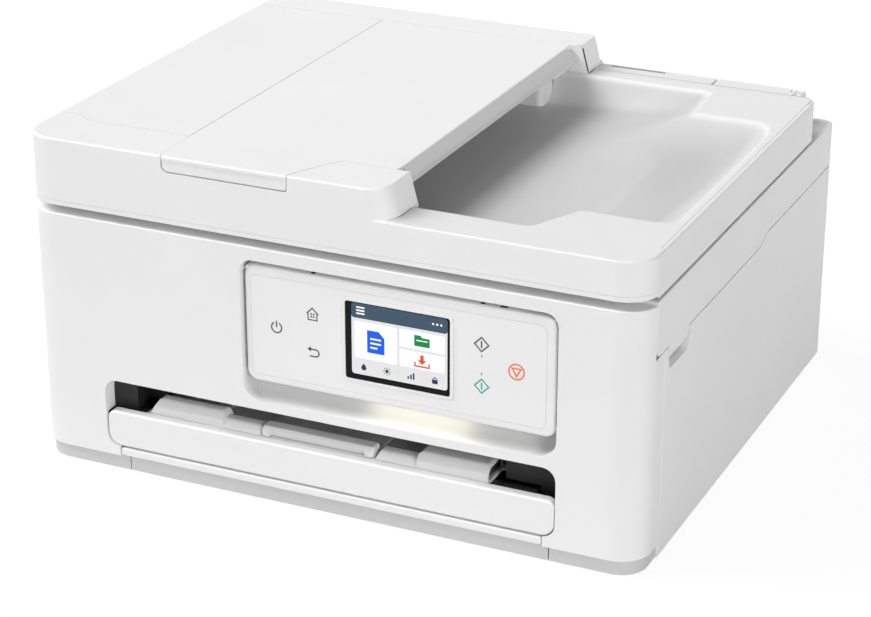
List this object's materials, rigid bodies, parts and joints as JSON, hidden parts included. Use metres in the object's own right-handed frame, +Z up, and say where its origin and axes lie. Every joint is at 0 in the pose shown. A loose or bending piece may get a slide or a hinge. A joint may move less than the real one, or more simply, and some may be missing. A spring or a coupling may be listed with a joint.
{
  "type": "inkjet multifunction printer",
  "caption": "White desktop inkjet printer with a document feeder lid, scanner unit, tilting touch panel, output slot and front paper cassette.",
  "frame": {"origin": "centre of the footprint, on the surface the printer stands on", "axes": "+X to the printer's right as seen from the front, +Y towards the back, +Z up"},
  "size_m": [0.376, 0.348, 0.2],
  "materials": {
    "white_shell": "fine satin",
    "base_grey": "fine satin",
    "light_grey": "fine satin",
    "black_plastic": "fine satin",
    "cartridge_dark": "satin",
    "steel": "zinc plated",
    "machine_metal": "satin",
    "gear_plastic": "natural nylon",
    "rubber": "matte",
    "roller_dark": "ground grit",
    "circuit_board": "solder mask",
    "panel_film": "printed film",
    "display": "glossy",
    "light_guide": "clear diffuser",
    "scan_glass": "polished",
    "white_pad": "foam backed sheet"
  },
  "bodies": {
    "printer_body": {"base_frame": "base_grey", "rubber_feet": "rubber", "front_cover": "white_shell", "left_cover": "white_shell", "right_cover": "white_shell", "rear_cover": "white_shell", "case_screws": "steel", "body_hinge_pins": "steel", "main_frame": "black_plastic", "access_frame": "black_plastic", "carriage_rail": "steel", "carriage_belt": "rubber", "carriage_motor": "machine_metal", "platen": "black_plastic", "purge_unit": "black_plastic", "transport_guide": "black_plastic", "pinch_holder": "black_plastic", "feed_motor": "machine_metal", "power_supply": "machine_metal", "ac_inlet": "black_plastic", "logic_board": "circuit_board", "usb_socket": "steel"},
    "rear_door": {"rear_access_cover": "white_shell"},
    "feed_shaft": {"feed_roller": "roller_dark"},
    "eject_shaft": {"eject_roller": "roller_dark"},
    "transfer_gear": {"idler_gear": "gear_plastic"},
    "pinch_shaft": {"pinch_rollers": "rubber"},
    "pickup_lever": {"pickup_arm": "black_plastic"},
    "pickup_wheel": {"pickup_roller": "rubber"},
    "print_carriage": {"carriage": "black_plastic", "cartridge_black": "cartridge_dark", "cartridge_colour": "cartridge_dark"},
    "motor_pulley": {"drive_pulley": "gear_plastic"},
    "far_pulley": {"idler_pulley": "gear_plastic"},
    "operation_panel": {"panel_shell": "white_shell", "panel_film": "panel_film", "lcd_module": "display", "panel_board": "circuit_board", "light_bar": "light_guide"},
    "cassette": {"cassette_tub": "base_grey", "cassette_front": "white_shell", "output_tray": "light_grey"},
    "paper_support": {"output_support": "light_grey"},
    "left_guide": {"side_guide_left": "light_grey"},
    "right_guide": {"side_guide_right": "light_grey"},
    "end_guide": {"length_guide": "light_grey"},
    "scanner": {"scanner_base": "white_shell", "scanner_top": "light_grey", "scan_glass": "scan_glass"},
    "scan_head": {"scan_carriage": "black_plastic"},
    "document_lid": {"lid_base": "white_shell", "lid_front": "white_shell", "feeder_rear_bar": "white_shell", "document_output_tray": "white_shell", "feeder_frame": "light_grey", "lid_pad": "white_pad", "lid_hinge_pins": "steel"},
    "feeder_door": {"feeder_cover": "white_shell"},
    "feeder_wheel": {"feeder_roller": "rubber"},
    "input_tray": {"document_tray": "white_shell"}
  },
  "joints": [
    {"name": "cassette_slide", "type": "slide", "parent": "printer_body", "child": "cassette", "axis": [0, -1, 0], "range_m": [0, 0.2]},
    {"name": "support_slide", "type": "slide", "parent": "cassette", "child": "paper_support", "axis": [0, -1, 0], "range_m": [0, 0.085]},
    {"name": "left_guide_slide", "type": "slide", "parent": "cassette", "child": "left_guide", "axis": [1, 0, 0], "range_m": [0, 0.045]},
    {"name": "right_guide_slide", "type": "slide", "parent": "cassette", "child": "right_guide", "axis": [1, 0, 0], "range_m": [-0.045, 0]},
    {"name": "end_guide_slide", "type": "slide", "parent": "cassette", "child": "end_guide", "axis": [0, 1, 0], "range_m": [0, 0.1]},
    {"name": "panel_tilt", "type": "hinge", "parent": "printer_body", "child": "operation_panel", "pos_m": [0.045, -0.1675, 0.14], "axis": [-1, 0, 0], "range_deg": [0, 45]},
    {"name": "scanner_lift", "type": "hinge", "parent": "printer_body", "child": "scanner", "pos_m": [0, 0.1664, 0.1285], "axis": [-1, 0, 0], "range_deg": [0, 45]},
    {"name": "scan_travel", "type": "slide", "parent": "scanner", "child": "scan_head", "axis": [1, 0, 0], "range_m": [0, 0.29]},
    {"name": "lid_lift", "type": "hinge", "parent": "scanner", "child": "document_lid", "pos_m": [0, 0.148, 0.169], "axis": [-1, 0, 0], "range_deg": [0, 80]},
    {"name": "feeder_cover_lift", "type": "hinge", "parent": "document_lid", "child": "feeder_door", "pos_m": [-0.1846, 0, 0.1754], "axis": [0, -1, 0], "range_deg": [0, 70]},
    {"name": "feeder_roller_spin", "type": "hinge", "parent": "feeder_door", "child": "feeder_wheel", "pos_m": [-0.14, -0.015, 0.187], "axis": [0, 1, 0], "continuous": true},
    {"name": "input_tray_flip", "type": "hinge", "parent": "document_lid", "child": "input_tray", "pos_m": [0.0335, 0, 0.1925], "axis": [0, 1, 0], "range_deg": [0, 150]},
    {"name": "carriage_travel", "type": "slide", "parent": "printer_body", "child": "print_carriage", "axis": [1, 0, 0], "range_m": [-0.26, 0]},
    {"name": "motor_pulley_spin", "type": "hinge", "parent": "printer_body", "child": "motor_pulley", "pos_m": [0.168, 0.042, 0.098], "axis": [0, 1, 0], "continuous": true},
    {"name": "far_pulley_spin", "type": "hinge", "parent": "printer_body", "child": "far_pulley", "pos_m": [-0.168, 0.042, 0.098], "axis": [0, 1, 0], "continuous": true},
    {"name": "feed_roller_spin", "type": "hinge", "parent": "printer_body", "child": "feed_shaft", "pos_m": [0, 0.022, 0.0495], "axis": [1, 0, 0], "continuous": true},
    {"name": "transfer_gear_spin", "type": "hinge", "parent": "printer_body", "child": "transfer_gear", "pos_m": [-0.1735, -0.023, 0.0495], "axis": [1, 0, 0], "continuous": true},
    {"name": "eject_roller_spin", "type": "hinge", "parent": "printer_body", "child": "eject_shaft", "pos_m": [0, -0.068, 0.0495], "axis": [1, 0, 0], "continuous": true},
    {"name": "pinch_roller_spin", "type": "hinge", "parent": "printer_body", "child": "pinch_shaft", "pos_m": [0, 0.022, 0.0594], "axis": [1, 0, 0], "continuous": true},
    {"name": "pickup_swing", "type": "hinge", "parent": "printer_body", "child": "pickup_lever", "pos_m": [0, 0.08, 0.043], "axis": [1, 0, 0], "range_deg": [0, 16]},
    {"name": "pickup_roller_spin", "type": "hinge", "parent": "pickup_lever", "child": "pickup_wheel", "pos_m": [0, 0.115, 0.033], "axis": [1, 0, 0], "continuous": true},
    {"name": "rear_door_open", "type": "hinge", "parent": "printer_body", "child": "rear_door", "pos_m": [0, 0.17, 0.0195], "axis": [-1, 0, 0], "range_deg": [0, 60]}
  ],
  "couplings": [
    {"joint": "right_guide_slide", "follows": "left_guide_slide", "ratio": -1},
    {"joint": "motor_pulley_spin", "follows": "carriage_travel", "rad_per_m": 142.86},
    {"joint": "far_pulley_spin", "follows": "carriage_travel", "rad_per_m": 142.86},
    {"joint": "transfer_gear_spin", "follows": "feed_roller_spin", "ratio": -0.8},
    {"joint": "eject_roller_spin", "follows": "feed_roller_spin", "ratio": 1},
    {"joint": "pinch_roller_spin", "follows": "feed_roller_spin", "ratio": -1.7143}
  ]
}
